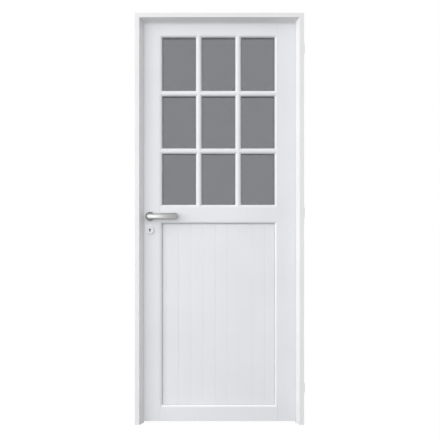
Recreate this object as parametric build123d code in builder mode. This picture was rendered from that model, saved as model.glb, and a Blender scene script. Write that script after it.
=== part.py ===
"""A half-glazed aluminium door in its three-sided frame, with lever handles and barrel hinges.

Millimetres, +Z up. The door is seen from -Y: the leaf is set back behind the frame's stop and opens
away, towards +Y. The origin is on the hinge jamb's outer face, at floor level and mid depth.
"""

import os

from build123d import *

# Frame: one hollow extrusion on three sides, mitred at the head
frame_width = 854.0
frame_height = 2080.0
frame_depth = 70.0
frame_face = 22.0
frame_splay = 16.0
stop_depth = 35.0
rebate_wall = 21.0
wall = 2.0
edge_radius = 1.0

# Leaf: hollow stiles and rails, with a lip that laps over the frame's rear face
leaf_thickness = 50.0
leaf_gap = 5.0
seal_gap = 5.0
floor_gap = 8.0
lip_reach = 14.0
latch_stile_width = 97.0
hinge_stile_width = 107.0
stile_radius = 2.0
top_rail_height = 75.0
lock_rail_height = 73.0
lock_rail_rise = 10.5
bottom_rail_height = 70.0

# Infill: a double glass unit above the lock rail and a grooved panel below it
infill_thickness = 24.0
infill_gap = 3.0
glass_thickness = 4.0
bead_width = 12.0
bead_edge = 1.5
bead_round = 3.0
bar_ridge = 5.0
bar_neck = 1.5
level_drop = 6.0
panes_across = 3
panes_high = 3
groove_pitch = 63.0
groove_width = 3.0
groove_depth = 1.2
first_groove = 29.0

# Seals
seal_width = 11.0
seal_show = 3.0
seal_clearance = 0.4
lip_seal_width = 8.0

# Lock and handles
backset = 46.0
lever_z = 1053.0
lock_centres = 70.0
rose_diameter = 46.0
rose_height = 9.0
rose_edge = 2.5
neck_diameter = 18.0
neck_clearance = 0.1
lever_length = 145.0
lever_root = 28.0
lever_width = 34.0
lever_point = 8.0
lever_thickness = 12.0
lever_bow = 9.0
lever_round = 9.0
lever_standoff = 46.0
lever_lift = 1.0
spindle_size = 8.0
spindle_grip = 24.0
follower_diameter = 16.0
escutcheon_diameter = 44.0
escutcheon_height = 6.0
keyhole_diameter = 9.0
keyhole_slot = 4.5
keyhole_drop = 11.0
keyhole_lift = 3.0
key_web = 2.0
faceplate_width = 20.0
faceplate_height = 230.0
faceplate_thickness = 3.0
faceplate_fit = 0.25
case_thickness = 15.0
case_height = 165.0
case_depth = 74.0
bolt_thickness = 12.0
bolt_height = 24.0
bolt_fit = 0.25
strike_width = 22.0
strike_height = 170.0
strike_thickness = 1.5
strike_margin = 3.0

# Hinges: three knuckles each, the pin fast in the frame half
hinge_foot = 168.0
hinge_drop = 160.0
hinge_rise = 29.0
hinge_height = 50.0
hinge_radius = 9.0
hinge_offset = 4.0
hinge_stand = 12.5
pin_radius = 4.0
pin_clearance = 0.1
knuckle_gap = 1.0
knuckle_round = 3.0
hinge_plate = 3.0
frame_wing = 8.0
leaf_wing = 37.0
wing_clear = 1.0

# Fixing holes through both jambs, for screws into the wall
fixing_diameter = 8.0
fixing_foot = 250.0
fixing_drop = 290.0
fixing_count = 4

# Places that follow from these sizes
front_y = -frame_depth / 2
rear_y = frame_depth / 2
stop_reach = frame_face + frame_splay
body_inset = rebate_wall + leaf_gap
lip_inset = rebate_wall - lip_reach
latch_inset = body_inset + latch_stile_width
hinge_inset = body_inset + hinge_stile_width
leaf_front = front_y + stop_depth + seal_gap
leaf_rear = leaf_front + leaf_thickness
lip_front = rear_y + seal_gap
leaf_mid = leaf_front + leaf_thickness / 2
body_top = frame_height - body_inset
lip_top = frame_height - lip_inset
opening_left = -frame_width + latch_inset
opening_right = -hinge_inset
opening_width = opening_right - opening_left
opening_x = (opening_left + opening_right) / 2
lock_rail_z = lever_z + lock_rail_rise
glass_bottom = lock_rail_z + lock_rail_height / 2
glass_top = body_top - top_rail_height
panel_bottom = floor_gap + bottom_rail_height
panel_top = lock_rail_z - lock_rail_height / 2
bead_depth = (leaf_thickness - infill_thickness) / 2
bead_slope = bead_depth - bead_edge
bar_width = bar_ridge + 2 * bead_width
latch_edge = -frame_width + body_inset
lever_x = latch_edge + backset
keyhole_z = lever_z - lock_centres
lock_y = (leaf_front + lip_front) / 2
lock_z = lever_z - lock_centres / 2
hinge_y = rear_y + hinge_stand
hinge_top = frame_height - hinge_drop
hinge_heights = (hinge_foot, (hinge_foot + hinge_top) / 2 + hinge_rise, hinge_top)
knuckle_height = (hinge_height - 2 * knuckle_gap) / 3
fixing_y = (front_y + stop_depth + rear_y) / 2
fixing_pitch = (frame_height - fixing_drop - fixing_foot) / (fixing_count - 1)
fixing_heights = [fixing_foot + n * fixing_pitch for n in range(fixing_count)]

# Section planes: local x runs inwards from the frame's outer face, local y runs back from its front
hinge_side = Plane(origin=(0, front_y, 0), x_dir=(-1, 0, 0), z_dir=(0, 0, -1))
latch_side = Plane(origin=(-frame_width, front_y, 0), x_dir=(1, 0, 0), z_dir=(0, 0, 1))
head_side = Plane(origin=(-frame_width, front_y, frame_height), x_dir=(0, 0, -1), z_dir=(1, 0, 0))
hinge_mitre = Plane(origin=(0, 0, frame_height), x_dir=(0, 1, 0), z_dir=(1, 0, -1))
latch_mitre = Plane(origin=(-frame_width, 0, frame_height), x_dir=(0, 1, 0), z_dir=(-1, 0, -1))
middle_plane = Plane(origin=(0, leaf_mid, 0), x_dir=(1, 0, 0), z_dir=(0, -1, 0))
face_plane = Plane(origin=(lever_x, leaf_front, lever_z), x_dir=(1, 0, 0), z_dir=(0, -1, 0))
key_plane = Plane(origin=(lever_x, leaf_front, keyhole_z), x_dir=(1, 0, 0), z_dir=(0, -1, 0))
grip_plane = Plane(origin=(lever_x, leaf_front, lever_z), x_dir=(1, 0, 0), z_dir=(0, 0, -1))

os.makedirs("parts", exist_ok=True)

# Frame section: a flat face, a splayed inner side and a rebate behind the stop
with BuildSketch() as frame_section:
    with BuildLine():
        Polyline(
            (0, 0),
            (frame_face, 0),
            (stop_reach, stop_depth),
            (rebate_wall, stop_depth),
            (rebate_wall, frame_depth),
            (0, frame_depth),
            close=True,
        )
    make_face()

with BuildSketch() as frame_chamber:
    add(frame_section.sketch)
    offset(amount=-wall, kind=Kind.INTERSECTION, mode=Mode.REPLACE)

with BuildSketch() as frame_outline:
    add(frame_section.sketch)
    fillet(frame_outline.vertices().sort_by(Axis.X)[2:], radius=edge_radius)

# Hinge jamb, on the viewer's right
with BuildPart() as hinge_jamb:
    with BuildSketch(hinge_side):
        add(frame_outline.sketch)
    extrude(amount=-frame_height)
    with BuildSketch(hinge_side):
        add(frame_chamber.sketch)
    extrude(amount=-frame_height, mode=Mode.SUBTRACT)
    split(bisect_by=hinge_mitre, keep=Keep.TOP)
    with BuildSketch(Plane.YZ):
        with Locations([(fixing_y, z) for z in fixing_heights]):
            Circle(fixing_diameter / 2)
    extrude(amount=-stop_reach, mode=Mode.SUBTRACT)
hinge_jamb.part.label = "hinge_jamb"
export_step(hinge_jamb.part, "parts/hinge_jamb.step")

# Latch jamb, with the two pockets behind the strike plate
with BuildPart() as latch_jamb:
    with BuildSketch(latch_side):
        add(frame_outline.sketch)
    extrude(amount=frame_height)
    with BuildSketch(latch_side):
        add(frame_chamber.sketch)
    extrude(amount=frame_height, mode=Mode.SUBTRACT)
    split(bisect_by=latch_mitre, keep=Keep.TOP)
    with BuildSketch(Plane.YZ.offset(-frame_width)):
        with Locations([(fixing_y, z) for z in fixing_heights]):
            Circle(fixing_diameter / 2)
    extrude(amount=stop_reach, mode=Mode.SUBTRACT)
    with BuildSketch(Plane.YZ.offset(-frame_width + rebate_wall)):
        with Locations((lock_y, lever_z), (lock_y, keyhole_z)):
            Rectangle(bolt_thickness + strike_margin, bolt_height + strike_margin)
    extrude(amount=-2 * wall, mode=Mode.SUBTRACT)
latch_jamb.part.label = "latch_jamb"
export_step(latch_jamb.part, "parts/latch_jamb.step")

# Head, mitred to both jambs
with BuildPart() as frame_head:
    with BuildSketch(head_side):
        add(frame_outline.sketch)
    extrude(amount=frame_width)
    with BuildSketch(head_side):
        add(frame_chamber.sketch)
    extrude(amount=frame_width, mode=Mode.SUBTRACT)
    split(bisect_by=hinge_mitre, keep=Keep.BOTTOM)
    split(bisect_by=latch_mitre, keep=Keep.BOTTOM)
frame_head.part.label = "frame_head"
export_step(frame_head.part, "parts/frame_head.step")

# Stop seal: a strip on the back of the stop that shows past its edge on three sides
stop_seal_reach = stop_reach + seal_show
with BuildPart() as stop_seal:
    with BuildSketch(Plane.XZ.offset(-(front_y + stop_depth))):
        with BuildLine():
            Polyline(
                (-(stop_seal_reach - seal_width), 0),
                (-(stop_seal_reach - seal_width), frame_height - stop_seal_reach + seal_width),
                (-frame_width + stop_seal_reach - seal_width, frame_height - stop_seal_reach + seal_width),
                (-frame_width + stop_seal_reach - seal_width, 0),
                (-frame_width + stop_seal_reach, 0),
                (-frame_width + stop_seal_reach, frame_height - stop_seal_reach),
                (-stop_seal_reach, frame_height - stop_seal_reach),
                (-stop_seal_reach, 0),
                close=True,
            )
        make_face()
    extrude(amount=-(seal_gap - seal_clearance))
stop_seal.part.label = "stop_seal"
export_step(stop_seal.part, "parts/stop_seal.step")

# Strike plate on the latch jamb's rebate wall
with BuildPart() as strike_plate:
    with BuildSketch(Plane.YZ.offset(-frame_width + rebate_wall)):
        with Locations((lock_y, lock_z)):
            Rectangle(strike_width, strike_height)
        with Locations((lock_y, lever_z), (lock_y, keyhole_z)):
            Rectangle(bolt_thickness + strike_margin, bolt_height + strike_margin, mode=Mode.SUBTRACT)
    extrude(amount=strike_thickness)
strike_plate.part.label = "strike_plate"
export_step(strike_plate.part, "parts/strike_plate.step")


def stile_section(inset):
    """A stile's outline, a box with a lip along its rear outer edge, and the chamber inside it."""
    with BuildSketch() as box:
        with BuildLine():
            Polyline(
                (body_inset, leaf_front - front_y),
                (inset, leaf_front - front_y),
                (inset, leaf_rear - front_y),
                (lip_inset, leaf_rear - front_y),
                (lip_inset, lip_front - front_y),
                (body_inset, lip_front - front_y),
                close=True,
            )
        make_face()
    with BuildSketch() as chamber:
        add(box.sketch)
        offset(amount=-wall, kind=Kind.INTERSECTION, mode=Mode.REPLACE)
    with BuildSketch() as outline:
        add(box.sketch)
        corners = outline.vertices().sort_by(Axis.X)
        fillet(corners[:2] + corners[-2:], radius=stile_radius)
    return outline.sketch, chamber.sketch


hinge_outline, hinge_chamber = stile_section(hinge_inset)
latch_outline, latch_chamber = stile_section(latch_inset)

# Hinge stile: its body stops at the rebate and its lip runs on over the head
with BuildPart() as hinge_stile:
    with BuildSketch(hinge_side.offset(-floor_gap)):
        add(hinge_outline)
    extrude(amount=-(lip_top - floor_gap))
    with BuildSketch(hinge_side.offset(-body_top)):
        with Locations((hinge_inset / 2, (lip_front - front_y) / 2)):
            Rectangle(hinge_inset, lip_front - front_y)
    extrude(amount=-(lip_top - body_top), mode=Mode.SUBTRACT)
    with BuildSketch(hinge_side.offset(-floor_gap)):
        add(hinge_chamber)
    extrude(amount=-(body_top - wall - floor_gap), mode=Mode.SUBTRACT)
hinge_stile.part.label = "hinge_stile"
export_step(hinge_stile.part, "parts/hinge_stile.step")

# Latch stile, cut for the lock's faceplate, the spindle and the keyhole
with BuildPart() as latch_stile:
    with BuildSketch(latch_side.offset(floor_gap)):
        add(latch_outline)
    extrude(amount=lip_top - floor_gap)
    with BuildSketch(latch_side.offset(body_top)):
        with Locations((latch_inset / 2, (lip_front - front_y) / 2)):
            Rectangle(latch_inset, lip_front - front_y)
    extrude(amount=lip_top - body_top, mode=Mode.SUBTRACT)
    with BuildSketch(latch_side.offset(floor_gap)):
        add(latch_chamber)
    extrude(amount=body_top - wall - floor_gap, mode=Mode.SUBTRACT)
    with BuildSketch(Plane.YZ.offset(latch_edge)):
        with Locations((lock_y, lock_z)):
            Rectangle(faceplate_width + 2 * faceplate_fit, faceplate_height + 2 * faceplate_fit)
    extrude(amount=2 * wall, mode=Mode.SUBTRACT)
    with BuildSketch(face_plane):
        Circle(follower_diameter / 2)
        with Locations((0, -lock_centres)):
            Circle(follower_diameter / 2)
    extrude(amount=-leaf_thickness, mode=Mode.SUBTRACT)
latch_stile.part.label = "latch_stile"
export_step(latch_stile.part, "parts/latch_stile.step")

# Rails butt between the stiles
rail_plane = Plane(origin=(opening_right, 0, 0), x_dir=(0, 0, 1), z_dir=(-1, 0, 0))

with BuildPart() as top_rail:
    with BuildSketch(rail_plane) as top_rail_section:
        with BuildLine():
            Polyline(
                (glass_top, leaf_front),
                (body_top, leaf_front),
                (body_top, lip_front),
                (lip_top, lip_front),
                (lip_top, leaf_rear),
                (glass_top, leaf_rear),
                close=True,
            )
        make_face()
        offset(amount=-wall, kind=Kind.INTERSECTION, mode=Mode.SUBTRACT)
    extrude(amount=opening_width)
top_rail.part.label = "top_rail"
export_step(top_rail.part, "parts/top_rail.step")

with BuildPart() as lock_rail:
    with BuildSketch(rail_plane):
        with Locations((lock_rail_z, leaf_mid)):
            Rectangle(lock_rail_height, leaf_thickness)
            Rectangle(lock_rail_height - 2 * wall, leaf_thickness - 2 * wall, mode=Mode.SUBTRACT)
    extrude(amount=opening_width)
lock_rail.part.label = "lock_rail"
export_step(lock_rail.part, "parts/lock_rail.step")

with BuildPart() as bottom_rail:
    with BuildSketch(rail_plane):
        with Locations((floor_gap + bottom_rail_height / 2, leaf_mid)):
            Rectangle(bottom_rail_height, leaf_thickness)
            Rectangle(bottom_rail_height - 2 * wall, leaf_thickness - 2 * wall, mode=Mode.SUBTRACT)
    extrude(amount=opening_width)
bottom_rail.part.label = "bottom_rail"
export_step(bottom_rail.part, "parts/bottom_rail.step")

# Lip seal: a strip on the front of the lip, over the frame's rear face
lip_seal_inset = rebate_wall - lip_seal_width - seal_show
lip_seal_inner = lip_seal_inset + lip_seal_width
with BuildPart() as lip_seal:
    with BuildSketch(Plane.XZ.offset(-lip_front)):
        with BuildLine():
            Polyline(
                (-lip_seal_inset, floor_gap),
                (-lip_seal_inset, frame_height - lip_seal_inset),
                (-frame_width + lip_seal_inset, frame_height - lip_seal_inset),
                (-frame_width + lip_seal_inset, floor_gap),
                (-frame_width + lip_seal_inner, floor_gap),
                (-frame_width + lip_seal_inner, frame_height - lip_seal_inner),
                (-lip_seal_inner, frame_height - lip_seal_inner),
                (-lip_seal_inner, floor_gap),
                close=True,
            )
        make_face()
    extrude(amount=seal_gap - seal_clearance)
lip_seal.part.label = "lip_seal"
export_step(lip_seal.part, "parts/lip_seal.step")


# Glazing bars divide the glass into equal panes. Each bar is cut to a point where it meets another strip
pane_width = (opening_width - 2 * bead_width - (panes_across - 1) * bar_width) / panes_across
pane_height = (glass_top - glass_bottom - 2 * bead_width - (panes_high - 1) * bar_width) / panes_high
upright_xs = []
for n in range(panes_across - 1):
    upright_xs.append(opening_left + bead_width + (n + 1) * pane_width + (n + 0.5) * bar_width)
level_zs = []
for n in range(panes_high - 1):
    level_zs.append(glass_bottom + bead_width + (n + 1) * pane_height + (n + 0.5) * bar_width - level_drop)
bar_tip = bar_ridge / 2 + bar_neck
level_starts = [opening_left + bar_neck] + [x + bar_tip for x in upright_xs]
level_ends = [x - bar_tip for x in upright_xs] + [opening_right - bar_neck]
slope_length = (bead_width**2 + bead_slope**2) ** 0.5
crest_in = bead_width / 2 + bead_round * bead_slope / slope_length
crest_depth = bead_slope / 2 - bead_round * bead_width / slope_length


def bead(middle, inward, depth, length):
    """One glazing bead along an opening's edge, mitred at both ends, rounding down to the infill."""
    along = inward.cross(depth)
    with BuildPart() as strip:
        with BuildSketch(Plane(origin=middle, x_dir=inward, z_dir=along)):
            with BuildLine():
                ThreePointArc((0, 0), (crest_in, crest_depth), (bead_width, bead_slope))
                Polyline((bead_width, bead_slope), (bead_width, bead_depth), (0, bead_depth), (0, 0))
            make_face()
        extrude(amount=length / 2, both=True)
        for end in (1, -1):
            mitre = Plane(origin=middle + along * (end * length / 2), z_dir=along * -end - inward)
            split(bisect_by=mitre, keep=Keep.TOP)
    return strip.part


def bar_blank(middle, across, depth, length):
    """A glazing bar's outline with both ends pointed, through the depth of the beads."""
    along = across.cross(depth)
    half_width = bar_width / 2
    shoulder = length / 2 - (half_width - bar_tip)
    with BuildPart() as blank:
        with BuildSketch(Plane(origin=middle, x_dir=along, z_dir=depth)):
            with BuildLine():
                Polyline(
                    (length / 2, -bar_tip),
                    (length / 2, bar_tip),
                    (shoulder, half_width),
                    (-shoulder, half_width),
                    (-length / 2, bar_tip),
                    (-length / 2, -bar_tip),
                    (-shoulder, -half_width),
                    (shoulder, -half_width),
                    close=True,
                )
            make_face()
        extrude(amount=bead_depth)
    return blank.part


def glazing_bar(middle, across, depth, length):
    """One glazing bar with rounded sides, which match the beads' round."""
    along = across.cross(depth)
    half_ridge = bar_ridge / 2
    half_width = bar_width / 2
    with BuildPart() as bar:
        with BuildSketch(Plane(origin=middle, x_dir=across, z_dir=along)):
            with BuildLine():
                Line((-half_ridge, 0), (half_ridge, 0))
                ThreePointArc((half_ridge, 0), (half_ridge + crest_in, crest_depth), (half_width, bead_slope))
                Polyline(
                    (half_width, bead_slope),
                    (half_width, bead_depth),
                    (-half_width, bead_depth),
                    (-half_width, bead_slope),
                )
                ThreePointArc(
                    (-half_width, bead_slope),
                    (-half_ridge - crest_in, crest_depth),
                    (-half_ridge, 0),
                )
            make_face()
        extrude(amount=length / 2, both=True)
        add(bar_blank(middle, across, depth, length), mode=Mode.INTERSECT)
    return bar.part


def upright_places(face_y):
    """The middle of each upright bar, and its length."""
    length = glass_top - glass_bottom - 2 * bar_neck
    return [(Vector(x, face_y, (glass_bottom + glass_top) / 2), length) for x in upright_xs]


def level_places(face_y):
    """The middle of each short level bar, and its length."""
    places = []
    for z in level_zs:
        for start, end in zip(level_starts, level_ends):
            places.append((Vector((start + end) / 2, face_y, z), end - start))
    return places


def upright_beads(face_y, depth):
    """The beads along the stiles, beside the glass and beside the panel."""
    with BuildPart() as strips:
        for low, high in ((glass_bottom, glass_top), (panel_bottom, panel_top)):
            middle_z = (low + high) / 2
            add(bead(Vector(opening_left, face_y, middle_z), Vector(1, 0, 0), depth, high - low))
            add(bead(Vector(opening_right, face_y, middle_z), Vector(-1, 0, 0), depth, high - low))
        for middle, length in level_places(face_y):
            add(bar_blank(middle, Vector(0, 0, 1), depth, length), mode=Mode.SUBTRACT)
    return strips.part


def level_beads(face_y, depth):
    """The beads along the rails, over and under the glass and the panel."""
    with BuildPart() as strips:
        for low, high in ((glass_bottom, glass_top), (panel_bottom, panel_top)):
            add(bead(Vector(opening_x, face_y, low), Vector(0, 0, 1), depth, opening_width))
            add(bead(Vector(opening_x, face_y, high), Vector(0, 0, -1), depth, opening_width))
        for middle, length in upright_places(face_y):
            add(bar_blank(middle, Vector(1, 0, 0), depth, length), mode=Mode.SUBTRACT)
    return strips.part


def upright_bars(face_y, depth):
    """The bars that run the full height of the glass."""
    with BuildPart() as bars:
        for middle, length in upright_places(face_y):
            add(glazing_bar(middle, Vector(1, 0, 0), depth, length))
        for middle, length in level_places(face_y):
            add(bar_blank(middle, Vector(0, 0, 1), depth, length), mode=Mode.SUBTRACT)
    return bars.part


def level_bars(face_y, depth):
    """The short bars between the upright ones."""
    with BuildPart() as bars:
        for middle, length in level_places(face_y):
            add(glazing_bar(middle, Vector(0, 0, 1), depth, length))
    return bars.part


for side, face_y, depth in (("front", leaf_front, Vector(0, 1, 0)), ("rear", leaf_rear, Vector(0, -1, 0))):
    for name, make in (
        ("upright_beads", upright_beads),
        ("level_beads", level_beads),
        ("upright_bars", upright_bars),
        ("level_bars", level_bars),
    ):
        trim = make(face_y, depth)
        trim.label = f"{side}_{name}"
        export_step(trim, f"parts/{side}_{name}.step")

# Double glass: two panes with a spacer between their edges
infill_front = leaf_front + bead_depth
infill_width = opening_width - 2 * infill_gap
glass_height = glass_top - glass_bottom - 2 * infill_gap
glass_z = (glass_top + glass_bottom) / 2
spacer_thickness = infill_thickness - 2 * glass_thickness
clear_width = opening_width - 2 * bead_width
clear_height = glass_top - glass_bottom - 2 * bead_width

with BuildPart() as front_pane:
    with BuildSketch(Plane.XZ.offset(-infill_front)):
        with Locations((opening_x, glass_z)):
            Rectangle(infill_width, glass_height)
    extrude(amount=-glass_thickness)
front_pane.part.label = "front_pane"
export_step(front_pane.part, "parts/front_pane.step")

with BuildPart() as rear_pane:
    mirror(front_pane.part, about=middle_plane)
rear_pane.part.label = "rear_pane"
export_step(rear_pane.part, "parts/rear_pane.step")

with BuildPart() as glazing_spacer:
    with BuildSketch(Plane.XZ.offset(-(infill_front + glass_thickness))):
        with Locations((opening_x, glass_z)):
            Rectangle(infill_width, glass_height)
            Rectangle(clear_width, clear_height, mode=Mode.SUBTRACT)
    extrude(amount=-spacer_thickness)
glazing_spacer.part.label = "glazing_spacer"
export_step(glazing_spacer.part, "parts/glazing_spacer.step")

# Lower panel, with shallow V grooves down both faces
panel_height = panel_top - panel_bottom - 2 * infill_gap
groove_count = int((infill_width - first_groove) / groove_pitch) + 1
with BuildPart() as lower_panel:
    with BuildSketch(Plane.XY.offset(panel_bottom + infill_gap)):
        with Locations((opening_x, leaf_mid)):
            Rectangle(infill_width, infill_thickness)
        for n in range(groove_count):
            groove_x = opening_left + infill_gap + first_groove + n * groove_pitch
            for face, tip in (
                (infill_front, infill_front + groove_depth),
                (infill_front + infill_thickness, infill_front + infill_thickness - groove_depth),
            ):
                with BuildLine():
                    Polyline(
                        (groove_x - groove_width / 2, face),
                        (groove_x + groove_width / 2, face),
                        (groove_x, tip),
                        close=True,
                    )
                make_face(mode=Mode.SUBTRACT)
    extrude(amount=panel_height)
lower_panel.part.label = "lower_panel"
export_step(lower_panel.part, "parts/lower_panel.step")

# Lock: case in the stile, faceplate in its edge, latch and bolt drawn back flush
case_front = latch_edge + faceplate_thickness
with BuildPart() as lock_case:
    with BuildSketch(Plane.YZ.offset(case_front)):
        with Locations((lock_y, lock_z)):
            Rectangle(case_thickness, case_height)
    extrude(amount=case_depth)
    with BuildSketch(face_plane):
        Circle(follower_diameter / 2)
        with Locations((0, keyhole_lift - lock_centres)):
            Circle(keyhole_diameter / 2)
    extrude(amount=-leaf_thickness, mode=Mode.SUBTRACT)
    with BuildSketch(Plane.XZ.offset(-lock_y)):
        with Locations((lever_x, keyhole_z + keyhole_lift)):
            Circle(keyhole_diameter / 2)
    extrude(amount=key_web / 2, both=True)
lock_case.part.label = "lock_case"
export_step(lock_case.part, "parts/lock_case.step")

with BuildPart() as lock_faceplate:
    with BuildSketch(Plane.YZ.offset(latch_edge)):
        with Locations((lock_y, lock_z)):
            Rectangle(faceplate_width, faceplate_height)
        with Locations((lock_y, lever_z), (lock_y, keyhole_z)):
            Rectangle(bolt_thickness + 2 * bolt_fit, bolt_height + 2 * bolt_fit, mode=Mode.SUBTRACT)
    extrude(amount=faceplate_thickness)
lock_faceplate.part.label = "lock_faceplate"
export_step(lock_faceplate.part, "parts/lock_faceplate.step")

with BuildPart() as lock_bolts:
    with BuildSketch(Plane.YZ.offset(latch_edge)):
        with Locations((lock_y, lever_z), (lock_y, keyhole_z)):
            Rectangle(bolt_thickness, bolt_height)
    extrude(amount=faceplate_thickness)
lock_bolts.part.label = "lock_bolts"
export_step(lock_bolts.part, "parts/lock_bolts.step")

# Roses round the lever's neck, on both faces
with BuildPart() as front_rose:
    with BuildSketch(face_plane):
        Circle(rose_diameter / 2)
        Circle(neck_diameter / 2 + neck_clearance, mode=Mode.SUBTRACT)
    extrude(amount=rose_height)
    rim = front_rose.edges().filter_by(GeomType.CIRCLE).group_by(Axis.Y)[0].sort_by(SortBy.RADIUS)[-1]
    fillet(rim, radius=rose_edge)
front_rose.part.label = "front_rose"
export_step(front_rose.part, "parts/front_rose.step")

with BuildPart() as rear_rose:
    mirror(front_rose.part, about=middle_plane)
rear_rose.part.label = "rear_rose"
export_step(rear_rose.part, "parts/rear_rose.step")

# Key escutcheons under the roses
with BuildPart() as front_escutcheon:
    with BuildSketch(key_plane):
        Circle(escutcheon_diameter / 2)
        with Locations((0, keyhole_lift)):
            Circle(keyhole_diameter / 2, mode=Mode.SUBTRACT)
        with Locations((0, keyhole_lift - keyhole_drop / 2)):
            Rectangle(keyhole_slot, keyhole_drop, mode=Mode.SUBTRACT)
    extrude(amount=escutcheon_height)
    rim = front_escutcheon.edges().filter_by(GeomType.CIRCLE).group_by(Axis.Y)[0].sort_by(SortBy.RADIUS)[-1]
    fillet(rim, radius=rose_edge)
front_escutcheon.part.label = "front_escutcheon"
export_step(front_escutcheon.part, "parts/front_escutcheon.step")

with BuildPart() as rear_escutcheon:
    mirror(front_escutcheon.part, about=middle_plane)
rear_escutcheon.part.label = "rear_escutcheon"
export_step(rear_escutcheon.part, "parts/rear_escutcheon.step")

# Levers: a round neck and a bowed, rounded grip that widens to a blunt point
lever_heel = -lever_root / 2
lever_end = lever_standoff - lever_bow
lever_crest = (lever_heel + lever_length) / 2
with BuildPart() as front_lever:
    with BuildSketch(grip_plane):
        with BuildLine():
            ThreePointArc((lever_heel, lever_end), (lever_crest, lever_standoff), (lever_length, lever_end))
            Line((lever_length, lever_end), (lever_length, lever_end - lever_thickness))
            ThreePointArc(
                (lever_length, lever_end - lever_thickness),
                (lever_crest, lever_standoff - lever_thickness),
                (lever_heel, lever_end - lever_thickness),
            )
            Line((lever_heel, lever_end - lever_thickness), (lever_heel, lever_end))
        make_face()
    extrude(amount=lever_width, both=True)
    with BuildSketch(face_plane):
        with BuildLine():
            ThreePointArc((0, -lever_root / 2), (-lever_root / 2, 0), (0, lever_root / 2))
            Polyline(
                (0, lever_root / 2),
                (lever_length - lever_point, lever_width / 2),
                (lever_length, 0),
                (lever_length - lever_point, -lever_width / 2),
                (0, -lever_root / 2),
            )
        make_face()
    extrude(amount=2 * lever_standoff, mode=Mode.INTERSECT)
    fillet(front_lever.faces().sort_by(Axis.Y)[0].edges(), radius=lever_round)
    with BuildSketch(face_plane.offset(lever_lift)):
        Circle(neck_diameter / 2)
    extrude(amount=lever_standoff - (lever_bow + lever_thickness) / 2 - lever_lift)
    with BuildSketch(face_plane.offset(lever_lift)):
        Rectangle(spindle_size, spindle_size)
    extrude(amount=spindle_grip, mode=Mode.SUBTRACT)
front_lever.part.label = "front_lever"
export_step(front_lever.part, "parts/front_lever.step")

with BuildPart() as rear_lever:
    mirror(front_lever.part, about=middle_plane)
rear_lever.part.label = "rear_lever"
export_step(rear_lever.part, "parts/rear_lever.step")

with BuildPart() as spindle:
    with BuildSketch(face_plane.offset(lever_lift + spindle_grip)):
        Rectangle(spindle_size, spindle_size)
    extrude(amount=-(leaf_thickness + 2 * (lever_lift + spindle_grip)))
spindle.part.label = "spindle"
export_step(spindle.part, "parts/spindle.step")


def knuckle(low_z):
    """One barrel of a hinge round the pin's line, with rounded ends."""
    with BuildPart() as barrel:
        with BuildSketch(Plane.XY.offset(low_z)):
            with Locations((hinge_offset, hinge_y)):
                Circle(hinge_radius)
        extrude(amount=knuckle_height)
        fillet(barrel.edges().filter_by(GeomType.CIRCLE), radius=knuckle_round)
    return barrel.part


# Hinges: the frame half has the outer knuckles and the pin, the leaf half the middle knuckle
for place, centre_z in zip(("bottom", "middle", "top"), hinge_heights):
    foot_z = centre_z - hinge_height / 2
    middle_z = foot_z + knuckle_height + knuckle_gap
    upper_z = middle_z + knuckle_height + knuckle_gap

    with BuildPart() as frame_half:
        with BuildSketch(Plane.XY.offset(foot_z)):
            with Locations((-frame_wing / 2, rear_y + hinge_plate / 2)):
                Rectangle(frame_wing, hinge_plate)
            with Locations((hinge_offset, hinge_y)):
                Circle(pin_radius)
        extrude(amount=hinge_height)
        for knuckle_z in (foot_z, upper_z):
            add(knuckle(knuckle_z))
            with BuildSketch(Plane.XY.offset(knuckle_z)):
                with Locations((0, rear_y + hinge_stand / 2)):
                    Rectangle(2 * hinge_offset, hinge_stand)
            extrude(amount=knuckle_height)
    frame_half.part.label = f"{place}_hinge_frame_half"
    export_step(frame_half.part, f"parts/{place}_hinge_frame_half.step")

    with BuildPart() as leaf_half:
        wing_edge = -lip_inset - wing_clear
        with BuildSketch(Plane.XY.offset(foot_z)):
            with Locations((wing_edge - leaf_wing / 2, leaf_rear + hinge_plate / 2)):
                Rectangle(leaf_wing, hinge_plate)
        extrude(amount=hinge_height)
        add(knuckle(middle_z))
        with BuildSketch(Plane.XY.offset(middle_z)):
            with BuildLine():
                Polyline(
                    (wing_edge, leaf_rear),
                    (wing_edge, leaf_rear + hinge_plate),
                    (hinge_offset, leaf_rear + hinge_plate),
                    (hinge_offset, hinge_y),
                    (-hinge_offset, hinge_y),
                    (-hinge_offset, leaf_rear),
                    close=True,
                )
            make_face()
        extrude(amount=knuckle_height)
        with BuildSketch(Plane.XY.offset(middle_z)):
            with Locations((hinge_offset, hinge_y)):
                Circle(pin_radius + pin_clearance)
        extrude(amount=knuckle_height, mode=Mode.SUBTRACT)
    leaf_half.part.label = f"{place}_hinge_leaf_half"
    export_step(leaf_half.part, f"parts/{place}_hinge_leaf_half.step")
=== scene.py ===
import math

import bmesh
import bpy
from mathutils import Matrix, Vector


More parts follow.
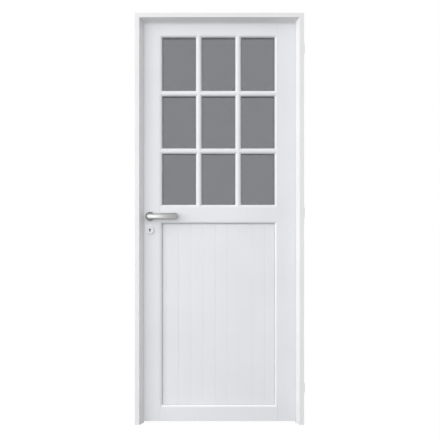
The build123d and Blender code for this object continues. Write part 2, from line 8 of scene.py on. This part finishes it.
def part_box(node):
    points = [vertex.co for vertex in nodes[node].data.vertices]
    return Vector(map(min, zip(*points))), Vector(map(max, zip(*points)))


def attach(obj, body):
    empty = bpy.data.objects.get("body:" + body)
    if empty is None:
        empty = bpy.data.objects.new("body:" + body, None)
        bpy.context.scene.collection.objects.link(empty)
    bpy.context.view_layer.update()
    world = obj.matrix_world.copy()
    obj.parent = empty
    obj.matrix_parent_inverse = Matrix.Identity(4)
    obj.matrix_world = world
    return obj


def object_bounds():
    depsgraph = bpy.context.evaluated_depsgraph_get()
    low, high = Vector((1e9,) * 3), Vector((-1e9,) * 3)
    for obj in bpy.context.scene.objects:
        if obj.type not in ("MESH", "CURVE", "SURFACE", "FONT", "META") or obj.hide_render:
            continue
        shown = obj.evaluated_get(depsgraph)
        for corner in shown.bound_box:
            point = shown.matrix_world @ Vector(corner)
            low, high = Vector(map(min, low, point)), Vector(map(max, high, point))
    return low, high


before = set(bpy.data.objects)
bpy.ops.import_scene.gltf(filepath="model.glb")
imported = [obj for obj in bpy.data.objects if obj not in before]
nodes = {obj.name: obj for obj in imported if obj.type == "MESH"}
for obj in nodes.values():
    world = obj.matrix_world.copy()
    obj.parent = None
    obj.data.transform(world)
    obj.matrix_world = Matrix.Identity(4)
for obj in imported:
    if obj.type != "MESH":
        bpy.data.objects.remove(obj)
size_from_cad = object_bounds()


# Door frame: two jambs and a head cut from one aluminium extrusion and mitred at the top corners.
# They are powder coated white, which leaves a satin skin with a fine orange peel.


def linear(hex_colour):
    """An sRGB hex colour such as "#F2F2F0" as linear red, green, blue and alpha."""
    channels = [int(hex_colour[i : i + 2], 16) / 255 for i in (1, 3, 5)]
    return (*[c / 12.92 if c <= 0.04045 else ((c + 0.055) / 1.055) ** 2.4 for c in channels], 1.0)


def add_node(tree, kind, settings=None, inputs=None, links=None):
    """One shader node with its settings and socket values, and links from other nodes' outputs."""
    node = tree.nodes.new(kind)
    for name, value in (settings or {}).items():
        setattr(node, name, value)
    for name, value in (inputs or {}).items():
        node.inputs[name].default_value = value
    for name, output in (links or {}).items():
        tree.links.new(output, node.inputs[name])
    return node


def dress(material, names):
    """Gives CAD nodes their finish."""
    for name in names:
        nodes[name].data.materials.clear()
        nodes[name].data.materials.append(material)


def powder_coat(name, pale, deep, roughness):
    """White polyester powder, baked on: a satin skin, slightly uneven in tone, with orange peel."""
    peel_mm = 3.0  # real peel is nearer 1 mm, drawn coarser so that it shows
    drift_mm = 260.0  # about the spacing of the spray gun's passes
    shinier, duller = 0.04, 0.05
    coat = bpy.data.materials.new(name)
    coat.use_nodes = True
    tree = coat.node_tree
    shader = tree.nodes["Principled BSDF"]
    place = add_node(tree, "ShaderNodeTexCoord")
    drift = add_node(
        tree,
        "ShaderNodeTexNoise",
        inputs={"Scale": 1000 / drift_mm, "Detail": 2.0, "Roughness": 0.5},
        links={"Vector": place.outputs["Object"]},
    )
    tone = add_node(tree, "ShaderNodeValToRGB", links={"Fac": drift.outputs["Fac"]})
    tone.color_ramp.elements[0].position = 0.3
    tone.color_ramp.elements[0].color = linear(deep)
    tone.color_ramp.elements[1].position = 0.7
    tone.color_ramp.elements[1].color = linear(pale)
    peel = add_node(
        tree,
        "ShaderNodeTexNoise",
        inputs={"Scale": 1000 / peel_mm, "Detail": 1.5, "Roughness": 0.45},
        links={"Vector": place.outputs["Object"]},
    )
    gloss = add_node(
        tree,
        "ShaderNodeMapRange",
        inputs={"To Min": roughness - shinier, "To Max": roughness + duller},
        links={"Value": peel.outputs["Fac"]},
    )
    relief = add_node(
        tree,
        "ShaderNodeBump",
        inputs={"Strength": 0.12, "Distance": 0.0001},
        links={"Height": peel.outputs["Fac"]},
    )
    tree.links.new(tone.outputs["Color"], shader.inputs["Base Color"])
    tree.links.new(gloss.outputs["Result"], shader.inputs["Roughness"])
    tree.links.new(relief.outputs["Normal"], shader.inputs["Normal"])
    shader.inputs["IOR"].default_value = 1.5
    return coat


frame_coat = powder_coat("white_powder_coat_frame", "#EEEEEF", "#EAEAEC", 0.42)
dress(frame_coat, ["hinge_jamb", "latch_jamb", "frame_head"])


# Seals: strips of pale grey EPDM rubber, pushed into the stop and onto the leaf's lip.
# Extruded rubber is matt, with a faint bloom of lighter grey. Its grey, a little darker than
# the coat, is partly painted shade for the gap beside the leaf.


def mottled(name, dark, pale, patch_mm, detail, roughness):
    """A matt finish whose tone wanders from dark to pale over patches of a given size."""
    finish = bpy.data.materials.new(name)
    finish.use_nodes = True
    tree = finish.node_tree
    shader = tree.nodes["Principled BSDF"]
    place = add_node(tree, "ShaderNodeTexCoord")
    patches = add_node(
        tree,
        "ShaderNodeTexNoise",
        inputs={"Scale": 1000 / patch_mm, "Detail": detail},
        links={"Vector": place.outputs["Object"]},
    )
    tone = add_node(tree, "ShaderNodeValToRGB", links={"Fac": patches.outputs["Fac"]})
    tone.color_ramp.elements[0].color = linear(dark)
    tone.color_ramp.elements[1].color = linear(pale)
    tree.links.new(tone.outputs["Color"], shader.inputs["Base Color"])
    shader.inputs["Roughness"].default_value = roughness
    return finish


seal_bloom_mm = 18.0
bloom_detail = 4.0
# The seal's grey is partly the rubber's own and partly painted shade in the gap beside the leaf.
pale_epdm_and_gap_shade = mottled(
    "pale_grey_epdm_rubber_and_painted_gap_shade", "#DADADC", "#E6E6E8", seal_bloom_mm, bloom_detail, roughness=0.75
)
dress(pale_epdm_and_gap_shade, ["stop_seal", "lip_seal"])


# Door leaf: hollow aluminium stiles and rails, with beads, glazing bars and a grooved lower panel.
# The stiles run full height and the rails butt between them. The beads and bars clip in, and all
# of it has the same white powder coat.

leaf_coat = powder_coat("white_powder_coat_leaf", "#EBEDF0", "#E7E9EC", 0.4)
dress(
    leaf_coat,
    ["latch_stile", "hinge_stile", "top_rail", "lock_rail", "bottom_rail", "lower_panel"],
)
for side in ("front", "rear"):
    for way in ("upright", "level"):
        dress(leaf_coat, [f"{side}_{way}_beads", f"{side}_{way}_bars"])


# Glass: a double unit of two 4 mm sheets, tinted grey, with a mill aluminium spacer round the edge.
# Float glass is smooth and clear, so the tint and the reflections are all that shows.

tinted_glass = bpy.data.materials.new("grey_float_glass")
tinted_glass.use_nodes = True
glass_shader = tinted_glass.node_tree.nodes["Principled BSDF"]
glass_shader.inputs["Base Color"].default_value = linear("#B0B1B3")
glass_shader.inputs["Transmission Weight"].default_value = 1.0
glass_shader.inputs["Roughness"].default_value = 0.02
glass_shader.inputs["IOR"].default_value = 1.5
dress(tinted_glass, ["front_pane", "rear_pane"])


def worked_metal(name, colour, grain_mm, gloss, stretch=(1.0, 1.0, 1.0)):
    """Metal whose roughness varies over a fine grain, drawn out where the stretch is low."""
    metal = bpy.data.materials.new(name)
    metal.use_nodes = True
    tree = metal.node_tree
    shader = tree.nodes["Principled BSDF"]
    place = add_node(tree, "ShaderNodeTexCoord")
    drawn_out = add_node(
        tree,
        "ShaderNodeMapping",
        inputs={"Scale": stretch},
        links={"Vector": place.outputs["Object"]},
    )
    grain = add_node(
        tree,
        "ShaderNodeTexNoise",
        inputs={"Scale": 1000 / grain_mm, "Detail": 2.0},
        links={"Vector": drawn_out.outputs["Vector"]},
    )
    sheen = add_node(
        tree,
        "ShaderNodeMapRange",
        inputs={"To Min": gloss[0], "To Max": gloss[1]},
        links={"Value": grain.outputs["Fac"]},
    )
    shader.inputs["Base Color"].default_value = linear(colour)
    shader.inputs["Metallic"].default_value = 1.0
    tree.links.new(sheen.outputs["Result"], shader.inputs["Roughness"])
    return metal


# Mill finish is aluminium as it left the press: plain grey, with a slightly uneven sheen.
mill_mm = 1.2  # real die lines are nearer 0.2 mm, drawn coarser so that they show
mill_aluminium = worked_metal("mill_aluminium", "#C4C5C7", mill_mm, gloss=(0.3, 0.5))
dress(mill_aluminium, ["glazing_spacer"])


# Gaskets: a thin grey rubber lip round each of the nine lights and round the panel, front and rear.
# It is rolled in between the infill and the bead, so only a narrow matt line of it shows. Its grey
# also paints the shade line along the edge of each light and of the panel.

gasket_bloom_mm = 12.0
# The gaskets' grey is partly the rubber's own and partly painted shade along the infill's edge.
grey_epdm_and_edge_shade = mottled(
    "grey_epdm_rubber_and_painted_edge_shade", "#707074", "#86868A", gasket_bloom_mm, bloom_detail, roughness=0.7
)

gasket_height = 0.0012
gasket_chamfer = 0.0008
glass_lip = 0.0014
panel_lip = 0.0014
bead_width = 0.012
bar_width = 0.029

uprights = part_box("front_upright_bars")
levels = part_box("front_level_bars")
light_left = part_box("top_rail")[0].x + bead_width
light_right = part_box("top_rail")[1].x - bead_width
light_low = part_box("lock_rail")[1].z + bead_width
light_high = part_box("top_rail")[0].z - bead_width
columns = [
    (light_left, uprights[0].x),
    (uprights[0].x + bar_width, uprights[1].x - bar_width),
    (uprights[1].x, light_right),
]
rows = [
    (light_low, levels[0].z),
    (levels[0].z + bar_width, levels[1].z - bar_width),
    (levels[1].z, light_high),
]
glass_lights = [(column, row) for column in columns for row in rows]
panel_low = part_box("bottom_rail")[1].z + bead_width
panel_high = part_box("lock_rail")[0].z - bead_width
panel_light = [((light_left, light_right), (panel_low, panel_high))]


def gasket(name, lights, face_y, outward, width):
    """One lip round each light, on the infill's face at face_y, chamfered on its inner side."""
    strips = bmesh.new()
    for (x0, x1), (z0, z1) in lights:
        rings = []
        for inset, height in (
            (0.0, 0.0),
            (0.0, gasket_height),
            (width - gasket_chamfer, gasket_height),
            (width, 0.0),
        ):
            y = face_y + outward * height
            corners = (
                (x0 + inset, y, z0 + inset),
                (x1 - inset, y, z0 + inset),
                (x1 - inset, y, z1 - inset),
                (x0 + inset, y, z1 - inset),
            )
            rings.append([strips.verts.new(corner) for corner in corners])
        for n, ring in enumerate(rings):
            after = rings[(n + 1) % len(rings)]
            for k in range(4):
                strips.faces.new((ring[k], ring[(k + 1) % 4], after[(k + 1) % 4], after[k]))
    bmesh.ops.recalc_face_normals(strips, faces=strips.faces)
    mesh = bpy.data.meshes.new(name)
    strips.to_mesh(mesh)
    strips.free()
    mesh.materials.append(grey_epdm_and_edge_shade)
    lips = bpy.data.objects.new(name, mesh)
    bpy.context.collection.objects.link(lips)
    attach(lips, "leaf")


gasket("front_glazing_gasket", glass_lights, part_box("front_pane")[0].y, -1, glass_lip)
gasket("rear_glazing_gasket", glass_lights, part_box("rear_pane")[1].y, 1, glass_lip)
gasket("front_panel_gasket", panel_light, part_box("lower_panel")[0].y, -1, panel_lip)
gasket("rear_panel_gasket", panel_light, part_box("lower_panel")[1].y, 1, panel_lip)


# Hinges: three barrel hinges in cast aluminium, coated with the door.
# Each leaf wing is held by two flat-headed steel screws.

hinge_places = ("bottom", "middle", "top")
for place in hinge_places:
    dress(leaf_coat, [f"{place}_hinge_frame_half", f"{place}_hinge_leaf_half"])

# Zinc plating is a bright, slightly cloudy grey.
cloud_mm = 1.5
zinc_steel = worked_metal("zinc_plated_steel", "#B4B6B8", cloud_mm, gloss=(0.25, 0.45))


def screw(name, place, facing, radius, body):
    """A flat screw head that stands half a millimetre proud, with a six-lobed recess."""
    proud = 0.0005
    rim_share = 0.93
    recess_share, recess_floor_share = 0.46, 0.4
    recess_floor_height = 0.1 * proud
    lobe_count = 6
    lobe_share = 0.07
    steps = 36
    head = bmesh.new()
    rings = []
    for share, height, lobes in (
        (1.0, 0.0, 0.0),
        (rim_share, proud, 0.0),
        (recess_share, proud, lobe_share),
        (recess_floor_share, recess_floor_height, lobe_share),
    ):
        ring = []
        for n in range(steps):
            angle = 2 * math.pi * n / steps
            reach = radius * (share + lobes * math.cos(lobe_count * angle))
            ring.append(head.verts.new((reach * math.cos(angle), reach * math.sin(angle), height)))
        rings.append(ring)
    for inner, outer in zip(rings[1:], rings):
        for n in range(steps):
            head.faces.new((outer[n], outer[(n + 1) % steps], inner[(n + 1) % steps], inner[n]))
    head.faces.new(rings[-1])
    head.faces.new(list(reversed(rings[0])))
    turn = Vector((0, 0, 1)).rotation_difference(Vector(facing)).to_matrix().to_4x4()
    head.transform(Matrix.Translation(place) @ turn)
    mesh = bpy.data.meshes.new(name)
    head.to_mesh(mesh)
    head.free()
    mesh.materials.append(zinc_steel)
    piece = bpy.data.objects.new(name, mesh)
    bpy.context.collection.objects.link(piece)
    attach(piece, body)


wing_thickness = 0.003
wing_screw_inset = 0.014
wing_screw_from_end = 0.011
wing_screw_radius = 0.0042
for place in hinge_places:
    low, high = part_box(f"{place}_hinge_leaf_half")
    wing_x = low.x + wing_screw_inset
    wing_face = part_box("hinge_stile")[1].y + wing_thickness
    for n, height in enumerate((low.z + wing_screw_from_end, high.z - wing_screw_from_end)):
        spot = (wing_x, wing_face, height)
        screw(f"{place}_hinge_screw_{n + 1}", spot, (0, 1, 0), wing_screw_radius, "leaf")


# Lock: a steel case let into the latch stile, with its faceplate, bolts and the strike on the jamb.
# The plates are brushed along their length, and the case is phosphated black, which also paints the
# shade inside the keyhole.

# Brushing leaves long upright lines that spread the light sideways.
brush_mm = 0.8  # real lines are nearer 0.1 mm, drawn coarser so that they show
brushed_upright = (1.0, 1.0, 0.02)
brushed_steel = worked_metal(
    "brushed_stainless_steel", "#B8B8B6", brush_mm, gloss=(0.22, 0.42), stretch=brushed_upright
)
dress(brushed_steel, ["lock_faceplate", "lock_bolts", "strike_plate", "spindle"])

# Phosphating is a matt, crystalline near-black. The case shows only through the keyhole, so its
# black is also painted shade there.
phosphate_mm = 2.0  # real crystals are far finer, drawn coarser so that they show
phosphate_detail = 3.0
black_steel_and_keyhole_shade = mottled(
    "black_phosphated_steel_and_keyhole_shade", "#1E1E1F", "#303031", phosphate_mm, phosphate_detail, roughness=0.6
)
dress(black_steel_and_keyhole_shade, ["lock_case"])

plate_screw_from_end = 0.009
plate_screw_radius = 0.0038
for name, facing, body in (("lock_faceplate", -1, "leaf"), ("strike_plate", 1, "frame")):
    low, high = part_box(name)
    plate_face = low.x if facing < 0 else high.x
    plate_middle = (low.y + high.y) / 2
    for n, height in enumerate((low.z + plate_screw_from_end, high.z - plate_screw_from_end)):
        spot = (plate_face, plate_middle, height)
        screw(f"{name}_screw_{n + 1}", spot, (facing, 0, 0), plate_screw_radius, body)


# Handles: two aluminium levers on one spindle, each in a round rose, with a key escutcheon below.
# The levers are cast and satin anodised, the roses are turned aluminium whose dark grey is painted
# reflection of a darker room and painted shade, and the escutcheons are coated nearly white.

# Satin anodising is a soft metal grey with fine lines along the lever.
satin_mm = 0.7  # real lines are nearer 0.1 mm, drawn coarser so that they show
along_lever = (0.03, 1.0, 1.0)
satin_aluminium = worked_metal(
    "satin_anodised_aluminium", "#A8A8A8", satin_mm, gloss=(0.3, 0.42), stretch=along_lever
)
dress(satin_aluminium, ["front_lever", "rear_lever"])

# The roses keep a trace of the lathe. Their dark grey is painted reflection and painted shade.
turning_mm = 0.9  # real marks are nearer 0.1 mm, drawn coarser so that they show
rose_painted_dark_reflection = worked_metal(
    "aluminium_with_painted_dark_reflection", "#6A6A6C", turning_mm, gloss=(0.3, 0.42)
)
dress(rose_painted_dark_reflection, ["front_rose", "rear_rose"])

# The escutcheons have a slightly glossier powder coat than the leaf.
escutcheon_coat = powder_coat("pale_powder_coat_escutcheon", "#E9EAEB", "#E4E5E6", 0.35)
dress(escutcheon_coat, ["front_escutcheon", "rear_escutcheon"])


# Studio: a pale floor and a white surround, which gives most of the light. Soft lamps stand to the
# left, in front, above and behind. The surround is white where it is seen, straight, through glass
# or in a gloss, and a little less as a light.

floor_half = 60.0
floor_mesh = bpy.data.meshes.new("studio_floor")
floor_mesh.from_pydata(
    [(x * floor_half, y * floor_half, 0) for x, y in ((-1, -1), (1, -1), (1, 1), (-1, 1))],
    [],
    [(0, 1, 2, 3)],
)
studio_floor = bpy.data.objects.new("studio_floor", floor_mesh)
bpy.context.collection.objects.link(studio_floor)


def share_seen(tree):
    """1 for rays from the camera, through glass or off a gloss, and 0 for those that only light."""
    path = add_node(tree, "ShaderNodeLightPath")
    seen = path.outputs["Is Camera Ray"]
    for ray in ("Is Transmission Ray", "Is Glossy Ray"):
        either = add_node(
            tree,
            "ShaderNodeMath",
            settings={"operation": "MAXIMUM"},
            links={0: seen, 1: path.outputs[ray]},
        )
        seen = either.outputs["Value"]
    return seen


# Where it is seen, most of the floor's paint glows white, and the rest keeps the door's shadow.
floor_glow_strength = 1.15
floor_glow_share = 0.85
floor_paint = bpy.data.materials.new("white_studio_floor")
floor_paint.use_nodes = True
floor_tree = floor_paint.node_tree
floor_shader = floor_tree.nodes["Principled BSDF"]
floor_shader.inputs["Base Color"].default_value = linear("#5C5C5C")
floor_shader.inputs["Roughness"].default_value = 0.9
floor_glow = add_node(
    floor_tree,
    "ShaderNodeEmission",
    inputs={"Color": linear("#FFFFFF"), "Strength": floor_glow_strength},
)
floor_share = add_node(
    floor_tree,
    "ShaderNodeMath",
    settings={"operation": "MULTIPLY"},
    inputs={1: floor_glow_share},
    links={0: share_seen(floor_tree)},
)
floor_mix = add_node(
    floor_tree,
    "ShaderNodeMixShader",
    links={
        0: floor_share.outputs["Value"],
        1: floor_shader.outputs["BSDF"],
        2: floor_glow.outputs["Emission"],
    },
)
floor_surface = floor_tree.nodes["Material Output"].inputs["Surface"]
floor_tree.links.new(floor_mix.outputs["Shader"], floor_surface)
floor_mesh.materials.append(floor_paint)

surround_as_light = 0.94
surround_as_seen = 1.0
world = bpy.data.worlds.new("white_studio")
bpy.context.scene.world = world
world.use_nodes = True
surround = world.node_tree
surround_level = add_node(
    surround,
    "ShaderNodeMapRange",
    inputs={"To Min": surround_as_light, "To Max": surround_as_seen},
    links={"Value": share_seen(surround)},
)
surround_paint = surround.nodes["Background"]
surround_paint.inputs["Color"].default_value = linear("#FFFFFF")
surround.links.new(surround_level.outputs["Result"], surround_paint.inputs["Strength"])

# Each lamp is a square panel that faces the door's middle and doesn't show through the glass. Its
# line gives how far off it stands in metres, its width in metres and its power in watts.
door_middle = (size_from_cad[0] + size_from_cad[1]) / 2
for name, off, width, watts in (
    ("key_softbox", Vector((-5.0, -2.4, 1.0)), 3.2, 120),
    ("front_softbox", Vector((-2.4, -5.0, -0.2)), 3.0, 88),
    ("upper_softbox", Vector((-2.6, -2.3, 3.7)), 1.2, 16),
    ("rear_softbox", Vector((2.2, 5.0, 1.6)), 3.0, 110),
):
    lamp = bpy.data.lights.new(name, "AREA")
    lamp.shape = "SQUARE"
    lamp.size = width
    lamp.energy = watts
    softbox = bpy.data.objects.new(name, lamp)
    softbox.location = door_middle + off
    softbox.rotation_euler = (-off).to_track_quat("-Z", "Y").to_euler()
    softbox.visible_transmission = False
    bpy.context.collection.objects.link(softbox)


# Camera: square on to the door at mid height, as the photograph shows it, with no shift.
# It is placed from the frame's front and latch side, and takes in a little more than the door.

camera_distance = 3.4
camera_from_latch_side = 0.4295
camera_height = 1.0344
view_width = 2.22
camera = bpy.data.cameras.new("door_camera")
camera.sensor_width = 36.0
camera.lens = camera.sensor_width * camera_distance / view_width
camera_stand = bpy.data.objects.new("door_camera", camera)
frame_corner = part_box("frame_head")[0]
camera_stand.location = (
    frame_corner.x + camera_from_latch_side,
    frame_corner.y - camera_distance,
    camera_height,
)
camera_stand.rotation_euler = (math.pi / 2, 0, 0)
bpy.context.collection.objects.link(camera_stand)
bpy.context.scene.camera = camera_stand

bpy.context.scene.view_settings.view_transform = "Standard"
